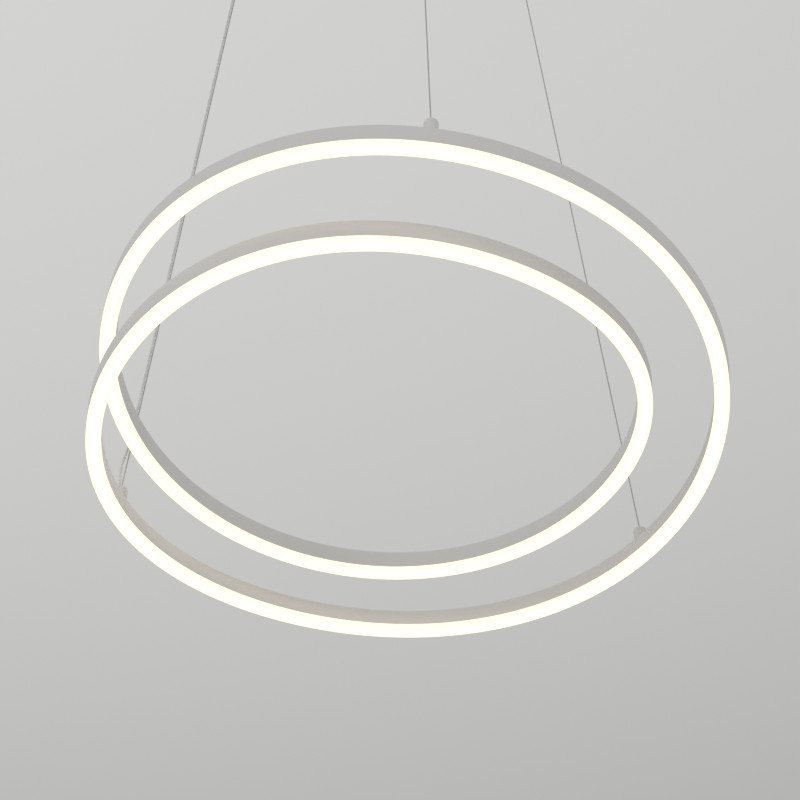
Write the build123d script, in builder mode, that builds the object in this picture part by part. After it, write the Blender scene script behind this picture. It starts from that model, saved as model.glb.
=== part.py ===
from build123d import *
import math
import os

os.makedirs("parts", exist_ok=True)

# Sizes are in millimetres. The ceiling is z = 0 and the lamp hangs below it.
drop = 1000.0  # ceiling to the middle plane of the loop
fit_gap = 0.2  # between pieces that slide into each other
run_gap = 0.3  # between pieces that move on each other

# The loop is one closed line that goes round twice, so its waves repeat after two turns.
loop_radius = 270.0  # mean radius of the two turns
loop_spread = 34.7  # the outer turn stands this far out, the inner turn this far in
loop_pinch = 4.9  # draws the two strands together where they cross
loop_squeeze = 3.2  # makes both turns slightly oval
loop_rise = 38.4  # half of the height between the strands where they cross
loop_lean = 7.2  # tips the outer turn one way and the inner turn the other
loop_saddle = 2.6
loop_dip = 2.6
loop_sag = 2.5
tilt_mean = 1.8  # degrees that the band's top leans outwards
tilt_ends = 2.6  # more on the lower strand of the crossing, less on the upper one
tilt_turns = 1.8  # more on the outer turn, less on the inner one
tilt_sides = 2.6  # less at the left, more at the right
tilt_front = 1.2  # less at the front, more at the back
seam_turn = 10.0  # angle of the first seam, past the crossing
half_turns = 4
loft_steps = 13  # sections along one half turn

# The extruded profile: a nut chamber on top, and a light channel that opens downwards.
profile_width = 14.0
profile_height = 19.0
profile_wall = 1.5
profile_web = 3.0
shelf = 1.2
channel_depth = 7.0

# The opal diffuser clips into the channel and stands proud of it.
diffuser_drop = 6.3
diffuser_wall = 1.6
diffuser_round = 2.0
diffuser_leg = 4.5
leg_wall = 1.3

strip_thickness = 0.4
chip_width = 2.8
chip_length = 3.5
chip_height = 0.8
chips_per_half_turn = 24

joiner_length = 44.0
joiner_thickness = 4.0
grub_radius = 1.5
grub_length = 5.2
grub_sink = 0.3  # below the profile's top
grub_spacing = 24.0

# The hangers stand upright on the outer turn, at these angles along the loop.
hanger_turns = (96.0, 216.6, 338.9)
cap_radius = 6.6
cap_height = 16.0
cap_round = 1.5
cap_roof = 3.0
seat_sink = 1.0  # depth of the flat seat that is cut for the cap
stud_radius = 2.0
stud_reach = 8.0  # how far the stud screws into the cap
head_across = 7.0
head_height = 2.8
head_slack = 0.7  # the head hangs level under a web that slopes
ball_radius = 1.9
wire_radius = 0.6
wire_hole_radius = 1.6
cable_radius = 1.1
cable_offset = 3.9  # from the wire, inside the cap that takes the cable

# The ceiling rose.
canopy_radius = 190.0
canopy_depth = 30.0
canopy_wall = 1.5
canopy_round = 6.0
rim_gap = 0.5  # keeps the rim off an uneven ceiling
bracket_thickness = 2.0
bracket_width = 36.0
bracket_leg = 18.0
bracket_bend = 3.0
bracket_play = 1.0  # between a leg and the canopy's wall
wing_length = 176.0
wing_width = 140.0
slot_spacing = 230.0
slot_length = 20.0
slot_width = 5.2
feed_radius = 9.0  # hole for the supply cable
side_screw_radius = 2.0
side_screw_length = 12.0
knob_radius = 5.0
knob_length = 6.0
knob_grooves = 16

driver_length = 140.0
driver_width = 42.0
driver_height = 20.0
driver_round = 2.0
driver_y = 46.0
ear_length = 11.0
ear_width = 20.0
ear_thickness = 3.0
block_length = 22.0
block_width = 24.0
block_height = 14.0
block_x = 40.0
block_y = -46.0
pole_spacing = 11.0
port_radius = 2.0
clamp_screw_radius = 1.6
fixing_radius = 1.7
fixing_head_radius = 3.2
fixing_head = 2.0
lead_radius = 1.1
lead_bend = 9.0
lead_clear = 16.0  # the leads pass the driver's ear at this distance
lead_apart = 5.0  # half of the distance between the two leads
lead_run = 9.0  # straight run of a lead at the driver
lead_sweep = 20.0  # size of a lead's turns

# The wire grips.
grip_inset = 14.0  # from the canopy's edge
thread_radius = 5.0
thread_length = 12.0
flange_radius = 9.0
flange_thickness = 3.0
barrel_radius = 6.5
barrel_length = 15.0
bore_radius = 1.2
chamber_radius = 4.0
chamber_roof = 1.0  # below the canopy's underside
lip = 2.0
plunger_travel = 3.0
shoulder_length = 5.7
nose_radius = 2.8
nose_out = 6.0  # below the barrel
mouth_radius = 1.6
wire_start = 3.0  # the wire leaves the nose from this far inside
tail_top = -8.0
grip_nut_across = 15.0
grip_nut_height = 4.0

# The cable gland, beside the third grip.
gland_spacing = 22.0
gland_radius = 6.5
gland_collar = 12.0
gland_thread_radius = 4.0
gland_thread_length = 9.0
gland_nut_across = 12.0
gland_nut_height = 3.0
cable_side = 2.1  # the cable's middle beside the wire's
cable_bend = 30.0
cable_rise = 6.0  # straight run out of the cap
cable_joins = 0.08  # shares of the wire's height where the cable meets it and leaves it
cable_leaves = 0.88
gland_run = 18.0  # straight run below the gland
gland_hold = 2.0  # the cable ends this far inside the gland

grip_circle = canopy_radius - grip_inset
bracket_half = canopy_radius - canopy_wall - bracket_play
channel_width = profile_width - 2 * profile_wall
chamber_floor = channel_depth + shelf
chamber_top = profile_height - profile_web
leg_half = channel_width / 2 - fit_gap
barrel_end = -canopy_depth - flange_thickness - barrel_length
nose_end = barrel_end - nose_out
pillar = (Align.CENTER, Align.CENTER, Align.MIN)


def save(piece, label):
    """Label a finished piece and write it as its own file."""
    piece.part.label = label
    export_step(piece.part, f"parts/{label}.step")


def loop_point(turn):
    """The point of the loop at an angle in degrees; 720 degrees close it."""
    a = math.radians(turn)
    radius = loop_radius + loop_spread * math.sin(a / 2)
    radius += loop_squeeze * math.sin(2 * a) - loop_pinch * math.cos(1.5 * a)
    height = loop_rise * math.cos(a / 2) + loop_lean * math.sin(1.5 * a)
    height += loop_saddle * math.sin(2 * a) + loop_dip * math.cos(2.5 * a) - loop_sag * math.cos(3 * a)
    return Vector(-radius * math.cos(a), -radius * math.sin(a), height - drop)


def section_plane(turn):
    """Across the loop: x points inwards and y upwards, turned by the tilt of the band."""
    half = math.radians(turn / 2)
    tilt = tilt_mean - tilt_ends * math.cos(half) + tilt_turns * math.sin(half)
    tilt -= tilt_sides * math.cos(2 * half) + tilt_front * math.sin(2 * half)
    along = loop_point(turn + 0.01) - loop_point(turn - 0.01)
    level = Plane(origin=loop_point(turn), x_dir=Vector(0, 0, 1).cross(along), z_dir=along)
    return Plane(level.location * Rot(0, 0, tilt))


def on_section(turn, height):
    """A point above the loop's line, in the middle of the section."""
    return section_plane(turn).from_local_coords((0, height, 0))


def standing(turn, height):
    """A plane on the section that looks up out of the profile's top."""
    section = section_plane(turn)
    return Plane(origin=on_section(turn, height), x_dir=section.x_dir, z_dir=section.y_dir)


def turns_for(length, turn):
    """The angle that a length covers along the loop at an angle."""
    return length / (loop_point(turn + 0.5) - loop_point(turn - 0.5)).length


def run_round(first, last, steps, outline, corner_round=0.0, window=None, holes=()):
    """Loft an outline along the loop, with an optional window in it and round holes cut after."""
    with BuildPart() as run:
        for step in range(steps + 1):
            with BuildSketch(section_plane(first + (last - first) * step / steps)) as section:
                with BuildLine():
                    Polyline(*outline, close=True)
                make_face()
                if corner_round:
                    fillet(section.vertices().group_by(Axis.Y)[0], corner_round)
                if window:
                    with Locations((0, (window[0] + window[1]) / 2)):
                        Rectangle(channel_width, window[1] - window[0], mode=Mode.SUBTRACT)
        loft()
        for plane, radius, length in holes:
            with Locations(plane):
                Cylinder(radius, length, align=pillar, mode=Mode.SUBTRACT)
    return run


def cord(points, radius, bend):
    """A tube along straight runs, with an arc at each corner."""
    with BuildPart() as tube:
        with BuildLine() as route:
            line = FilletPolyline(*points, radius=bend)
        with BuildSketch(Plane(origin=line @ 0, z_dir=line % 0)):
            Circle(radius)
        sweep(path=route.wires()[0])
    return tube


def rod(start, end, radius):
    """A straight round rod between two points."""
    with BuildPart() as bar:
        with BuildSketch(Plane(origin=start, z_dir=end - start)):
            Circle(radius)
        extrude(amount=(end - start).length)
    return bar


# Where the hangers sit, and where each wire leaves its grip.
hangers = []
grips = []
for turn in hanger_turns:
    top = on_section(turn, profile_height)
    hangers.append(Vector(top.X, top.Y, top.Z - seat_sink))
    angle = math.atan2(top.Y, top.X)
    grips.append(Vector(grip_circle * math.cos(angle), grip_circle * math.sin(angle), -canopy_depth))
cable_hanger = hangers[2]
outwards = Vector(cable_hanger.X, cable_hanger.Y, 0).normalized()
grip_side = outwards.cross(Vector(0, 0, -1))
cable_hole = cable_hanger + grip_side * cable_offset
gland = grips[2] + grip_side * gland_spacing

# Profile, diffuser and LED strip of each half turn.
profile_outline = [
    (-profile_width / 2, 0),
    (-profile_width / 2, profile_height),
    (profile_width / 2, profile_height),
    (profile_width / 2, 0),
    (channel_width / 2, 0),
    (channel_width / 2, channel_depth),
    (-channel_width / 2, channel_depth),
    (-channel_width / 2, 0),
]
lens_floor = diffuser_wall - diffuser_drop
diffuser_outline = [
    (-profile_width / 2, -diffuser_drop),
    (-profile_width / 2, -fit_gap / 2),
    (-leg_half, -fit_gap / 2),
    (-leg_half, diffuser_leg),
    (leg_wall - leg_half, diffuser_leg),
    (leg_wall - leg_half, lens_floor),
    (leg_half - leg_wall, lens_floor),
    (leg_half - leg_wall, diffuser_leg),
    (leg_half, diffuser_leg),
    (leg_half, -fit_gap / 2),
    (profile_width / 2, -fit_gap / 2),
    (profile_width / 2, -diffuser_drop),
]
strip_half = leg_half - leg_wall - fit_gap
strip_top = channel_depth - 0.05
strip_outline = [
    (-strip_half, strip_top - strip_thickness),
    (-strip_half, strip_top),
    (strip_half, strip_top),
    (strip_half, strip_top - strip_thickness),
]
joiner_half = channel_width / 2 - fit_gap
joiner_top = chamber_top - fit_gap / 2
joiner_outline = [
    (-joiner_half, joiner_top - joiner_thickness),
    (-joiner_half, joiner_top),
    (joiner_half, joiner_top),
    (joiner_half, joiner_top - joiner_thickness),
]

seams = [seam_turn + 180 * number for number in range(half_turns)]
grub_planes = []
for seam in seams:
    reach = turns_for(grub_spacing / 2, seam)
    for turn in (seam - reach, seam + reach):
        grub_planes.append((turn, standing(turn, profile_height - grub_sink - grub_length)))

for number, first in enumerate(seams):
    last = first + 180
    holes = []
    for turn, plane in grub_planes:
        if first < turn < last or first < turn + 720 < last:
            holes.append((plane, grub_radius + fit_gap / 2, grub_length + profile_wall))
    for turn, seat in zip(hanger_turns, hangers):
        if first < turn < last:
            holes.append((Plane(seat), cap_radius + fit_gap / 2, cap_height))
            holes.append((Plane(seat - Vector(0, 0, profile_web)), stud_radius + fit_gap, cap_height))
    if first < hanger_turns[2] < last:
        holes.append((Plane(cable_hole - Vector(0, 0, profile_web)), cable_radius + fit_gap, cap_height))
    profile = run_round(
        first, last, loft_steps, profile_outline, window=(chamber_floor, chamber_top), holes=holes
    )
    save(profile, f"profile_{number + 1}")

    diffuser = run_round(first, last, loft_steps, diffuser_outline, corner_round=diffuser_round)
    save(diffuser, f"diffuser_{number + 1}")

    strip = run_round(first, last, loft_steps, strip_outline)
    save(strip, f"led_strip_{number + 1}")

    chip_level = strip_top - strip_thickness - chip_height / 2 - fit_gap / 4
    chip_turns = [first + 180 * (chip + 0.5) / chips_per_half_turn for chip in range(chips_per_half_turn)]
    with BuildPart() as chips:
        with Locations(*[section_plane(turn).location * Pos(0, chip_level, 0) for turn in chip_turns]):
            Box(chip_width, chip_height, chip_length)
    save(chips, f"led_chips_{number + 1}")

    reach = turns_for(joiner_length / 2, first)
    bores = [(plane, grub_radius + fit_gap / 2, grub_length) for turn, plane in grub_planes]
    near = [bore for bore in bores if (bore[0].origin - loop_point(first)).length < joiner_length]
    joiner = run_round(first - reach, first + reach, 3, joiner_outline, holes=near)
    save(joiner, f"joiner_{number + 1}")

with BuildPart() as grubs:
    for turn, plane in grub_planes:
        with BuildSketch(plane):
            Circle(grub_radius)
        extrude(amount=grub_length)
    for turn, plane in grub_planes:
        with BuildSketch(plane.offset(grub_length)):
            RegularPolygon(grub_radius / 2, 6)
        extrude(amount=-grub_radius, mode=Mode.SUBTRACT)
save(grubs, "joiner_screws")

# Hangers: a round cap on a stud, with the wire's ball caught under the cap's roof.
bore_height = cap_height - cap_roof
ball_level = bore_height - math.sqrt(ball_radius**2 - wire_hole_radius**2) - fit_gap / 2
for number, seat in enumerate(hangers):
    with BuildPart() as cap:
        Cylinder(cap_radius, cap_height, align=pillar)
        chamfer(cap.edges().group_by(Axis.Z)[0], 0.4)
        fillet(cap.edges().group_by(Axis.Z)[-1], cap_round)
        Cylinder(stud_radius + fit_gap, bore_height, align=pillar, mode=Mode.SUBTRACT)
        Cylinder(wire_hole_radius, cap_height, align=pillar, mode=Mode.SUBTRACT)
        if number == 2:
            with Locations(grip_side * cable_offset):
                Cylinder(cable_radius + fit_gap, cap_height, align=pillar, mode=Mode.SUBTRACT)
    cap.part = cap.part.moved(Location(seat))
    save(cap, f"hanger_cap_{number + 1}")

    head_top = profile_web - seat_sink + head_slack
    with BuildPart() as stud:
        with BuildSketch(Plane(seat - Vector(0, 0, head_top + head_height))):
            RegularPolygon(head_across / 2, 6, major_radius=False)
        extrude(amount=head_height)
        with BuildSketch(Plane(seat - Vector(0, 0, head_top))):
            Circle(stud_radius)
        extrude(amount=head_top + stud_reach)
    save(stud, f"hanger_screw_{number + 1}")

    with BuildPart() as ball:
        with Locations(seat + Vector(0, 0, ball_level)):
            Sphere(ball_radius)
    save(ball, f"wire_ball_{number + 1}")

# Suspension wires and the power cable.
for number, (seat, grip) in enumerate(zip(hangers, grips)):
    start = Vector(grip.X, grip.Y, nose_end + wire_start)
    end = seat + Vector(0, 0, ball_level + ball_radius + run_gap)
    wire = rod(start, end, wire_radius)
    save(wire, f"wire_{number + 1}")

wire_top = Vector(grips[2].X, grips[2].Y, nose_end + wire_start)
wire_foot = cable_hanger + Vector(0, 0, cap_height)
gland_mouth = Vector(gland.X, gland.Y, -canopy_depth - gland_collar)


def beside_wire(share):
    """A point of the cable's run beside the third wire, from its foot to its top."""
    return wire_foot + (wire_top - wire_foot) * share + Vector(-cable_side, 0, 0)


cable_route = [
    cable_hole - Vector(0, 0, profile_web - seat_sink - run_gap),
    cable_hole + Vector(0, 0, cap_height + cable_rise),
    beside_wire(cable_joins),
    beside_wire(cable_leaves),
    gland_mouth - Vector(0, 0, gland_run),
    gland_mouth + Vector(0, 0, gland_hold),
]
save(cord(cable_route, cable_radius, cable_bend), "power_cable")

with BuildPart() as tails:
    for grip in grips:
        with BuildSketch(Plane((grip.X, grip.Y, nose_end + wire_start + run_gap))):
            Circle(wire_radius)
        extrude(amount=tail_top - nose_end - wire_start - run_gap)
save(tails, "wire_tails")

# Wire grips through the canopy's floor.
for number, grip in enumerate(grips):
    with BuildPart() as body:
        with BuildSketch(Plane(grip)):
            Circle(thread_radius)
        extrude(amount=thread_length)
        with BuildSketch(Plane(grip)):
            Circle(flange_radius)
        extrude(amount=-flange_thickness)
        with BuildSketch(Plane(grip - Vector(0, 0, flange_thickness))):
            Circle(barrel_radius)
        extrude(amount=-barrel_length)
        chamfer(body.edges().group_by(Axis.Z)[0], 0.8)
        with Locations(Vector(grip.X, grip.Y, barrel_end + lip)):
            Cylinder(
                chamber_radius, -canopy_depth - chamber_roof - barrel_end - lip,
                align=pillar, mode=Mode.SUBTRACT,
            )
        with Locations(Vector(grip.X, grip.Y, barrel_end)):
            Cylinder(nose_radius + run_gap, lip, align=pillar, mode=Mode.SUBTRACT)
            Cylinder(bore_radius, 100, align=pillar, mode=Mode.SUBTRACT)
    save(body, f"grip_body_{number + 1}")

    with BuildPart() as plunger:
        with BuildSketch(Plane((grip.X, grip.Y, barrel_end + lip + run_gap))):
            Circle(chamber_radius - run_gap)
        extrude(amount=shoulder_length)
        with BuildSketch(Plane((grip.X, grip.Y, nose_end))):
            Circle(nose_radius)
        extrude(amount=nose_out + lip + run_gap)
        fillet(plunger.edges().group_by(Axis.Z)[0], 0.6)
        with Locations(Vector(grip.X, grip.Y, nose_end)):
            Cylinder(mouth_radius, 100, align=pillar, mode=Mode.SUBTRACT)
    save(plunger, f"grip_plunger_{number + 1}")

    with BuildPart() as nut:
        with BuildSketch(Plane((grip.X, grip.Y, canopy_wall - canopy_depth))):
            RegularPolygon(grip_nut_across / 2, 6, major_radius=False)
            Circle(thread_radius + fit_gap / 2, mode=Mode.SUBTRACT)
        extrude(amount=grip_nut_height)
    save(nut, f"grip_nut_{number + 1}")

# Cable gland.
with BuildPart() as gland_body:
    with BuildSketch(Plane(gland)):
        Circle(gland_radius)
    extrude(amount=-gland_collar, taper=10)
    with BuildSketch(Plane(gland)):
        Circle(gland_thread_radius)
    extrude(amount=gland_thread_length)
    with Locations(gland_mouth):
        Cylinder(cable_radius + run_gap, 100, align=pillar, mode=Mode.SUBTRACT)
save(gland_body, "cable_gland")

with BuildPart() as gland_nut:
    with BuildSketch(Plane((gland.X, gland.Y, canopy_wall - canopy_depth))):
        RegularPolygon(gland_nut_across / 2, 6, major_radius=False)
        Circle(gland_thread_radius + fit_gap / 2, mode=Mode.SUBTRACT)
    extrude(amount=gland_nut_height)
save(gland_nut, "gland_nut")

# Canopy cover: a shallow spun cup, open to the ceiling.
screw_level = -bracket_leg * 2 / 3
with BuildPart() as canopy:
    with BuildSketch(Plane.XY.offset(-canopy_depth)):
        Circle(canopy_radius)
    extrude(amount=canopy_depth - rim_gap)
    fillet(canopy.edges().group_by(Axis.Z)[0], canopy_round)
    offset(amount=-canopy_wall, openings=canopy.faces().sort_by(Axis.Z)[-1])
    for grip in grips:
        with Locations(grip):
            Cylinder(thread_radius + fit_gap / 2, 3 * canopy_wall, mode=Mode.SUBTRACT)
    with Locations(gland):
        Cylinder(gland_thread_radius + fit_gap / 2, 3 * canopy_wall, mode=Mode.SUBTRACT)
    for side in (-1, 1):
        with Locations(Location((side * canopy_radius, 0, screw_level), (0, 90, 0))):
            Cylinder(side_screw_radius + fit_gap, 4 * canopy_wall, mode=Mode.SUBTRACT)
save(canopy, "canopy_cover")

# Ceiling bracket: a bar with bent legs, and a wing that carries the driver and the terminal block.
ear_x = driver_length / 2 + ear_length / 2
with BuildPart() as bracket:
    with BuildSketch(Plane.XZ.offset(-bracket_width / 2)) as bar:
        with BuildLine():
            Polyline(
                (-bracket_half, -bracket_leg),
                (-bracket_half, 0),
                (bracket_half, 0),
                (bracket_half, -bracket_leg),
                (bracket_half - bracket_thickness, -bracket_leg),
                (bracket_half - bracket_thickness, -bracket_thickness),
                (bracket_thickness - bracket_half, -bracket_thickness),
                (bracket_thickness - bracket_half, -bracket_leg),
                close=True,
            )
        make_face()
        fillet(bar.vertices().group_by(Axis.Y)[1], bracket_bend - bracket_thickness)
        fillet(bar.vertices().group_by(Axis.Y)[-1], bracket_bend)
    extrude(amount=bracket_width)
    with BuildSketch(Plane.XY.offset(-bracket_thickness)):
        RectangleRounded(wing_length, wing_width, 12)
    extrude(amount=bracket_thickness)
    with BuildSketch(Plane.XY) as openings:
        Circle(feed_radius)
        with GridLocations(slot_spacing, 0, 2, 1):
            SlotOverall(slot_length, slot_width)
        with Locations((-ear_x, driver_y), (ear_x, driver_y), (block_x, block_y)):
            Circle(fixing_radius + fit_gap / 2)
    extrude(amount=-bracket_thickness, mode=Mode.SUBTRACT)
    for side in (-1, 1):
        with Locations(Location((side * bracket_half, 0, screw_level), (0, 90, 0))):
            Cylinder(side_screw_radius + fit_gap / 2, 4 * bracket_thickness, mode=Mode.SUBTRACT)
save(bracket, "ceiling_bracket")

with BuildPart() as side_screws:
    for side in (-1, 1):
        face = Plane(origin=(side * (canopy_radius + 0.1), 0, screw_level), z_dir=(side, 0, 0))
        with BuildSketch(face):
            Circle(knob_radius)
            with PolarLocations(knob_radius, knob_grooves):
                Circle(0.5, mode=Mode.SUBTRACT)
        extrude(amount=knob_length)
        with BuildSketch(face):
            Circle(side_screw_radius)
        extrude(amount=-side_screw_length)
save(side_screws, "canopy_screws")

# Driver, terminal block and their leads, under the bracket's wing.
with BuildPart() as driver:
    with BuildSketch(Plane.XY.offset(-bracket_thickness)):
        with Locations((0, driver_y)):
            RectangleRounded(driver_length, driver_width, 4)
    extrude(amount=-driver_height)
    fillet(driver.faces().sort_by(Axis.Z)[0].edges(), driver_round)
    with BuildSketch(Plane.XY.offset(-bracket_thickness)):
        with Locations((0, driver_y)):
            RectangleRounded(driver_length + 2 * ear_length, ear_width, 4)
        with Locations((-ear_x, driver_y), (ear_x, driver_y)):
            Circle(fixing_radius + fit_gap / 2, mode=Mode.SUBTRACT)
    extrude(amount=-ear_thickness)
save(driver, "led_driver")

with BuildPart() as block:
    with BuildSketch(Plane.XY.offset(-bracket_thickness)):
        with Locations((block_x, block_y)):
            RectangleRounded(block_length, block_width, 1.5)
    extrude(amount=-block_height)
    with Locations((block_x, block_y, -bracket_thickness)):
        Cylinder(fixing_radius + fit_gap / 2, 2 * block_height, mode=Mode.SUBTRACT)
    with Locations((block_x, block_y, -bracket_thickness - block_height)):
        Cylinder(fixing_head_radius + fit_gap, block_height, mode=Mode.SUBTRACT)
    port_level = -bracket_thickness - block_height * 0.6
    for pole in (-1, 1):
        y = block_y + pole * pole_spacing * 0.8
        with Locations(Location((block_x, y, port_level), (0, 90, 0))):
            Cylinder(port_radius, 2 * block_length, mode=Mode.SUBTRACT)
        with Locations((block_x, y, -bracket_thickness - block_height)):
            Cylinder(clamp_screw_radius + fit_gap, block_height / 2, align=pillar, mode=Mode.SUBTRACT)
save(block, "terminal_block")

with BuildPart() as clamp_screws:
    for pole in (-1, 1):
        y = block_y + pole * pole_spacing * 0.8
        with BuildSketch(Plane((block_x, y, -bracket_thickness - block_height + 0.5))):
            Circle(clamp_screw_radius)
            Rectangle(0.5, 3 * clamp_screw_radius, mode=Mode.SUBTRACT)
        extrude(amount=0.6)
        with BuildSketch(Plane((block_x, y, -bracket_thickness - block_height + 1.1))):
            Circle(clamp_screw_radius)
        extrude(amount=block_height * 0.4 - 1.1 - port_radius * 0.2)
save(clamp_screws, "terminal_screws")

fixing_heads = [
    (-ear_x, driver_y, -bracket_thickness - ear_thickness),
    (ear_x, driver_y, -bracket_thickness - ear_thickness),
    (block_x, block_y, -bracket_thickness - block_height / 2),
]
with BuildPart() as fixings:
    for x, y, z in fixing_heads:
        with BuildSketch(Plane((x, y, z))):
            Circle(fixing_head_radius)
        extrude(amount=-fixing_head)
        with BuildSketch(Plane((x, y, z - fixing_head))):
            Rectangle(4.0, 0.8)
            Rectangle(0.8, 4.0)
        extrude(amount=1.0, mode=Mode.SUBTRACT)
        with BuildSketch(Plane((x, y, z))):
            Circle(fixing_radius)
        extrude(amount=-z - run_gap)
save(fixings, "fixing_screws")

lead_x = driver_length / 2 + ear_length + lead_clear
driver_end = driver_length / 2 + run_gap
with BuildPart() as mains:
    for pole in (-1, 1):
        y = block_y + pole * pole_spacing * 0.8
        inlet = driver_y - pole * (ear_width / 2 + 4.0)
        far = lead_x - pole * lead_apart
        with BuildLine() as route:
            line = FilletPolyline(
                (block_x + block_length / 4, y, port_level),
                (far - 1.3 * lead_sweep, y, port_level),
                (far, y + lead_sweep, port_level),
                (far, inlet - lead_sweep, port_level),
                (driver_end + lead_run, inlet, port_level),
                (driver_end, inlet, port_level),
                radius=lead_bend,
            )
        with BuildSketch(Plane(origin=line @ 0, z_dir=line % 0)):
            Circle(lead_radius)
        sweep(path=route.wires()[0])
save(mains, "mains_leads")

outlet = Vector(-driver_end, driver_y - ear_width / 2 - 4.0, port_level)
towards = (Vector(outlet.X, outlet.Y, 0) - Vector(gland.X, gland.Y, 0)).normalized()
driver_route = [
    Vector(gland.X, gland.Y, gland_mouth.Z + gland_hold + run_gap),
    Vector(gland.X, gland.Y, port_level - lead_run / 2),
    Vector(gland.X, gland.Y, port_level) + towards * 1.2 * lead_run,
    outlet - Vector(2 * lead_sweep, 0, 0),
    outlet,
]
save(cord(driver_route, cable_radius, lead_bend), "driver_lead")
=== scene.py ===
import math

import bmesh
import bpy
from mathutils import Matrix, Vector


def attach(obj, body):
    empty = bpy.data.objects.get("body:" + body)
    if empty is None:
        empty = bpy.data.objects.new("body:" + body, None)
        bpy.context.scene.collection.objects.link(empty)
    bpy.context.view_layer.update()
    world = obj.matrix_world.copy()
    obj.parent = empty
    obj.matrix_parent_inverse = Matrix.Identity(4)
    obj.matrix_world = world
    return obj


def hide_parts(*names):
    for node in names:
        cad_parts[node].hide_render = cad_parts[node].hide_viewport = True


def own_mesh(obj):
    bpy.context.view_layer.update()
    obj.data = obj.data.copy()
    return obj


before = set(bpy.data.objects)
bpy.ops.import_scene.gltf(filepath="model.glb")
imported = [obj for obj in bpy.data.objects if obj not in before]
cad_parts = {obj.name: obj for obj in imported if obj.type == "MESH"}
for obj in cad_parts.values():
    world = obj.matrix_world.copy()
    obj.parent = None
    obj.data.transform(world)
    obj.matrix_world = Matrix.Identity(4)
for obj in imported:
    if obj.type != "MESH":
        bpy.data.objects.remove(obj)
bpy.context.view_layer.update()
scene = bpy.context.scene
mm = 0.001
zUp = Vector((0, 0, 1))
tiny = 1e-6
print("frame loaded,", len(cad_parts), "nodes")

# the loop, in mm: same rule as the solids, two turns close it
loopShape = {
    "drop": 1000.0, "radius": 270.0, "spread": 34.7, "pinch": 4.9, "squeeze": 3.2,
    "rise": 38.4, "lean": 7.2, "saddle": 2.6, "dip": 2.6, "sag": 2.5,
    "tiltMean": 1.8, "tiltEnds": 2.6, "tiltTurns": 1.8,  # degrees, top outwards
    "tiltSides": 2.6, "tiltFront": 1.2,
    "firstSeam": 10.0, "halfTurns": 4, "stations": 240,
    "hangerTurns": (96.0, 216.6, 338.9), "bandHeight": 19.0, "halfWidth": 7.0, "seatSink": 1.0,
}


def loopPoint(turn):
    s, a = loopShape, math.radians(turn)
    r = s["radius"] + s["spread"] * math.sin(a / 2)
    r += s["squeeze"] * math.sin(2 * a) - s["pinch"] * math.cos(1.5 * a)
    z = s["rise"] * math.cos(a / 2) + s["lean"] * math.sin(1.5 * a)
    z += s["saddle"] * math.sin(2 * a) + s["dip"] * math.cos(2.5 * a) - s["sag"] * math.cos(3 * a)
    return Vector((-r * math.cos(a), -r * math.sin(a), z - s["drop"]))


def loopTilt(turn):
    s, half = loopShape, math.radians(turn / 2)
    tilt = s["tiltMean"] - s["tiltEnds"] * math.cos(half) + s["tiltTurns"] * math.sin(half)
    tilt -= s["tiltSides"] * math.cos(2 * half) + s["tiltFront"] * math.sin(2 * half)
    return math.radians(tilt)


def loopFrame(turn, step=0.01):
    # the point, inwards and up
    along = (loopPoint(turn + step) - loopPoint(turn - step)).normalized()
    side = zUp.cross(along).normalized()
    up = along.cross(side)
    c, s = math.cos(loopTilt(turn)), math.sin(loopTilt(turn))
    return loopPoint(turn), side * c + up * s, up * c - side * s


def hangerSeat(turn):
    place, _, up = loopFrame(turn)
    return place + up * loopShape["bandHeight"] - zUp * loopShape["seatSink"]


seats = [hangerSeat(turn) for turn in loopShape["hangerTurns"]]

# camera in mm, air, and lamps and floor in metres
cameraView = {"place": (6.4, -1639.4, -2585.6), "lookUp": 44.37, "lens": 110.25, "sensor": 36.0}
airSettings = {
    "top": 0.68, "low": 0.46, "level": 0.70, "middle": 0.586, "slope": 0.592, "bend": -1.555,
    "sideways": -0.142, "tint": (1.0, 0.997, 0.987), "ambient": 0.78, "ambientTint": (1.0, 0.995, 0.98),
}
lampAim = Vector((0, 0, -0.9))  # near the loop
lampBoxes = [
    {"name": "keyBox", "place": (-2.0, -2.6, -1.2), "size": 2.4, "watts": 24, "tint": (1.0, 0.99, 0.97)},
    {"name": "fillBox", "place": (2.6, -1.4, -1.6), "size": 1.8, "watts": 12, "tint": (1.0, 0.98, 0.95)},
    {"name": "backBox", "place": (0.6, 2.8, -0.2), "size": 2.0, "watts": 14, "tint": (0.98, 0.99, 1.0)},
]

cameraData = bpy.data.cameras.new("photoCamera")
cameraData.lens = cameraView["lens"]
cameraData.sensor_width = cameraView["sensor"]
camera = bpy.data.objects.new("photoCamera", cameraData)
camera.location = Vector(cameraView["place"]) * mm
camera.rotation_euler = (math.radians(90 + cameraView["lookUp"]), 0, 0)
scene.collection.objects.link(camera)
scene.camera = camera
scene.view_settings.view_transform = "Standard"

for box in lampBoxes:
    lamp = bpy.data.lights.new(box["name"], "AREA")
    lamp.energy, lamp.size, lamp.color = box["watts"], box["size"], box["tint"]
    lampObject = bpy.data.objects.new(box["name"], lamp)
    lampObject.location = box["place"]
    lampObject.rotation_euler = (lampAim - lampObject.location).to_track_quat("-Z", "Y").to_euler()
    scene.collection.objects.link(lampObject)


# node helpers
def node(tree, kind, label=None, **values):
    made = tree.nodes.new(kind)
    if label:
        made.label = label
    for key, value in values.items():
        setattr(made, key, value)
    return made


def link(tree, output, target):
    tree.links.new(output, target)


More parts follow.
